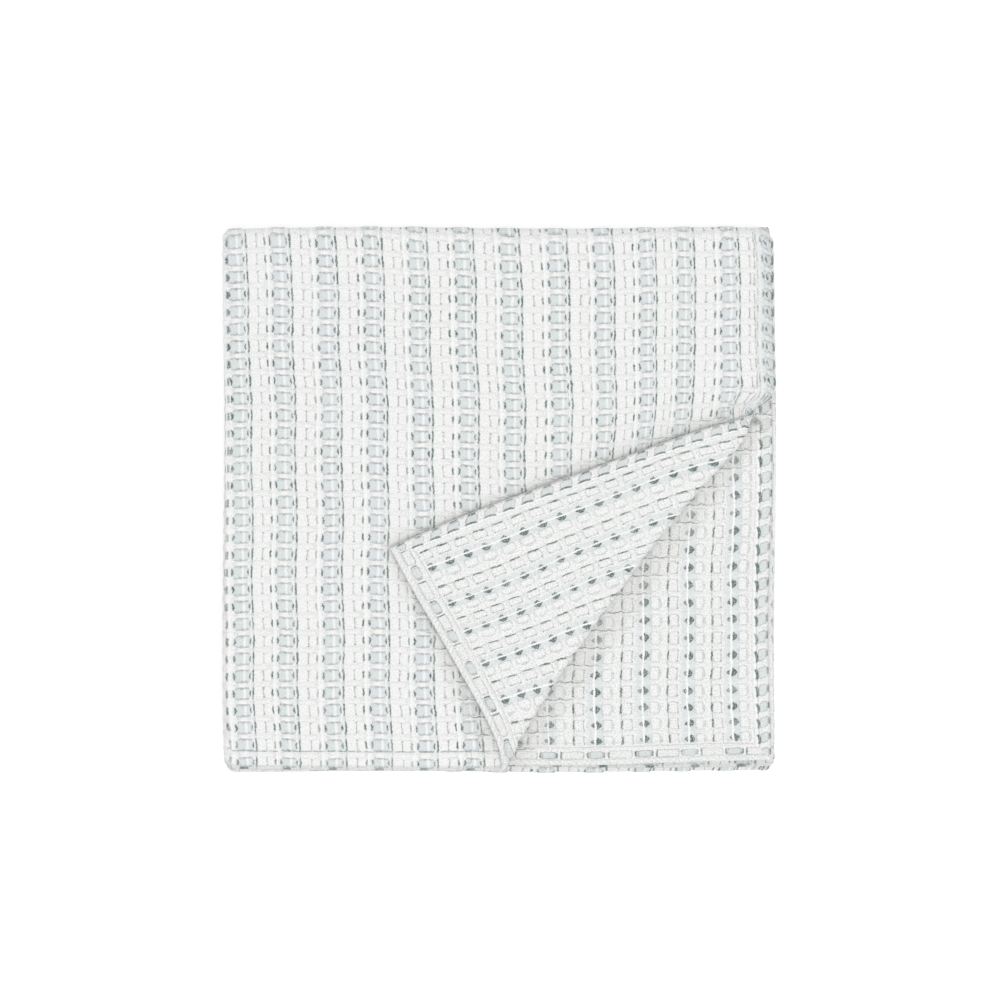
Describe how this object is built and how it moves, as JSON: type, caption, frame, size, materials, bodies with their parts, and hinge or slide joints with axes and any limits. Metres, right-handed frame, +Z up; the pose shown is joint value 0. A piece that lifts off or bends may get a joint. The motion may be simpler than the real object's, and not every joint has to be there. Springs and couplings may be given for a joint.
{
  "type": "folded waffle weave cotton blanket",
  "caption": "Folded waffle weave cotton blanket, a square stack of nested layers with hemmed edges and one corner of the top layer turned back.",
  "frame": {"origin": "middle of the underside, on the surface that the stack rests on", "axes": "+X to the right of the stack as it is looked down on, towards its side hems, +Y towards its back fold, +Z up"},
  "size_m": [0.4018, 0.3977, 0.0625],
  "materials": {
    "waffle_cotton": "matte"
  },
  "bodies": {
    "root": {"blanket": "waffle_cotton"}
  },
  "joints": []
}
